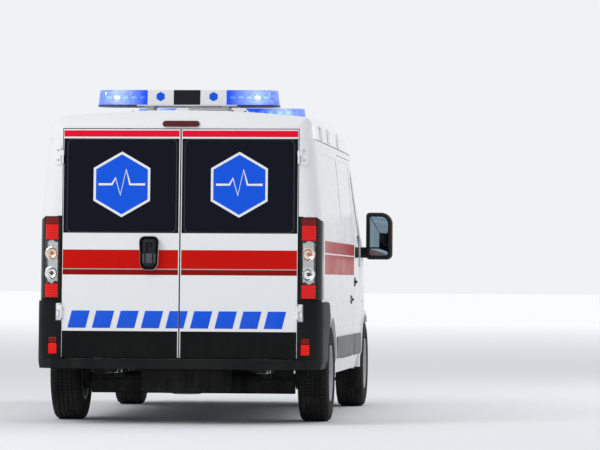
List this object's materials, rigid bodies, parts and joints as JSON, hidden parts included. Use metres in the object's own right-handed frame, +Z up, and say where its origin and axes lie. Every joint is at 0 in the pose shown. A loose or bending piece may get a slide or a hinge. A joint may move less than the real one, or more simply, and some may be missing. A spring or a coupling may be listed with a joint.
{
  "type": "ambulance",
  "caption": "Panel-van ambulance with low roof, two rear doors, a sliding side door, two cab doors, a bonnet, steered front wheels and light bars on the roof.",
  "frame": {"origin": "on the ground under the middle of the vehicle's length and width", "axes": "X to the vehicle's right, Y to its front, Z up"},
  "size_m": [2.508, 5.413, 2.373],
  "materials": {
    "body_white": "gloss white paint",
    "roof_white": "gloss white paint",
    "black_plastic": "grained black plastic",
    "grey_plastic": "grained dark grey plastic",
    "white_plastic": "gloss white plastic",
    "tinted_glass": "dark film over glass",
    "clear_glass": "clear glass",
    "lamp_red": "red lamp lens",
    "lamp_clear": "clear lamp lens",
    "lens_blue": "blue warning lens",
    "tyre": "black rubber",
    "rim_silver": "satin silver",
    "frame_black": "satin black paint",
    "steel": "dull steel",
    "iron": "cast iron",
    "trim_fabric": "woven seat cover",
    "dash_plastic": "grained plastic",
    "zinc": "white painted steel"
  },
  "bodies": {
    "body": {"brake_lamp_high": "lamp_red", "bulkhead": "body_white", "chassis_frame": "frame_black", "cowl": "black_plastic", "dashboard": "dash_plastic", "engine": "iron", "exhaust": "steel", "floor_pan": "frame_black", "front_bumper": "grey_plastic", "front_suspension": "frame_black", "front_wing_left": "body_white", "front_wing_right": "body_white", "fuel_tank": "black_plastic", "grille": "black_plastic", "headlamps": "lamp_clear", "leaf_springs": "steel", "light_bar_bases": "white_plastic", "light_bar_lenses": "lens_blue", "rear_axle": "frame_black", "rear_bumper": "black_plastic", "rear_hinges": "zinc", "roof": "roof_white", "roof_vent": "white_plastic", "seats": "trim_fabric", "side_cladding": "grey_plastic", "side_panel_left": "body_white", "side_panel_right": "body_white", "sliding_door": "body_white", "spare_wheel": "tyre", "steering_wheel": "dash_plastic", "tail_lamps": "lamp_red", "wheelhouses": "black_plastic", "windscreen": "clear_glass"},
    "wheel_rear_right": {"tyre_rear_right": "tyre", "rim_rear_right": "rim_silver"},
    "wheel_rear_left": {"tyre_rear_left": "tyre", "rim_rear_left": "rim_silver"},
    "wheel_front_right": {"tyre_front_right": "tyre", "rim_front_right": "rim_silver"},
    "wheel_front_left": {"tyre_front_left": "tyre", "rim_front_left": "rim_silver"},
    "knuckle_right": {"knuckle_right": "iron"},
    "knuckle_left": {"knuckle_left": "iron"},
    "cab_door_right": {"cab_door_right": "body_white", "cab_glass_right": "clear_glass", "cab_trim_right": "grey_plastic", "mirror_right": "black_plastic"},
    "cab_door_left": {"cab_door_left": "body_white", "cab_glass_left": "clear_glass", "cab_trim_left": "grey_plastic", "mirror_left": "black_plastic"},
    "rear_door_right": {"rear_door_right": "body_white", "rear_glass_right": "tinted_glass"},
    "rear_door_left": {"rear_door_left": "body_white", "rear_glass_left": "tinted_glass", "rear_door_handle": "black_plastic"},
    "bonnet": {"bonnet": "body_white"}
  },
  "joints": [
    {"name": "wheel_rear_right_spin", "type": "hinge", "parent": "body", "child": "wheel_rear_right", "pos_m": [0.895, -1.6915, 0.348], "axis": [1, 0, 0], "continuous": true},
    {"name": "wheel_rear_left_spin", "type": "hinge", "parent": "body", "child": "wheel_rear_left", "pos_m": [-0.895, -1.6915, 0.348], "axis": [1, 0, 0], "continuous": true},
    {"name": "steer_right", "type": "hinge", "parent": "body", "child": "knuckle_right", "pos_m": [0.86, 1.7585, 0.348], "axis": [0, 0, 1], "range_deg": [-35, 35]},
    {"name": "steer_left", "type": "hinge", "parent": "body", "child": "knuckle_left", "pos_m": [-0.86, 1.7585, 0.348], "axis": [0, 0, 1], "range_deg": [-35, 35]},
    {"name": "wheel_front_right_spin", "type": "hinge", "parent": "knuckle_right", "child": "wheel_front_right", "pos_m": [0.905, 1.7585, 0.348], "axis": [1, 0, 0], "continuous": true},
    {"name": "wheel_front_left_spin", "type": "hinge", "parent": "knuckle_left", "child": "wheel_front_left", "pos_m": [-0.905, 1.7585, 0.348], "axis": [1, 0, 0], "continuous": true},
    {"name": "cab_door_right_hinge", "type": "hinge", "parent": "body", "child": "cab_door_right", "pos_m": [1.001, 1.55, 1], "axis": [0, 0, 1], "range_deg": [0, 70]},
    {"name": "cab_door_left_hinge", "type": "hinge", "parent": "body", "child": "cab_door_left", "pos_m": [-1.001, 1.55, 1], "axis": [0, 0, -1], "range_deg": [0, 70]},
    {"name": "rear_door_right_hinge", "type": "hinge", "parent": "body", "child": "rear_door_right", "pos_m": [0.835, -2.63792, 1], "axis": [0, 0.0436, 0.999], "range_deg": [0, 180]},
    {"name": "rear_door_left_hinge", "type": "hinge", "parent": "body", "child": "rear_door_left", "pos_m": [-0.835, -2.63792, 1], "axis": [0, -0.0436, -0.999], "range_deg": [0, 180]},
    {"name": "bonnet_hinge", "type": "hinge", "parent": "body", "child": "bonnet", "pos_m": [0, 2.013, 1.2029], "axis": [1, 0, 0], "range_deg": [0, 60]}
  ],
  "couplings": [
    {"joint": "steer_right", "follows": "steer_left", "ratio": 1}
  ]
}
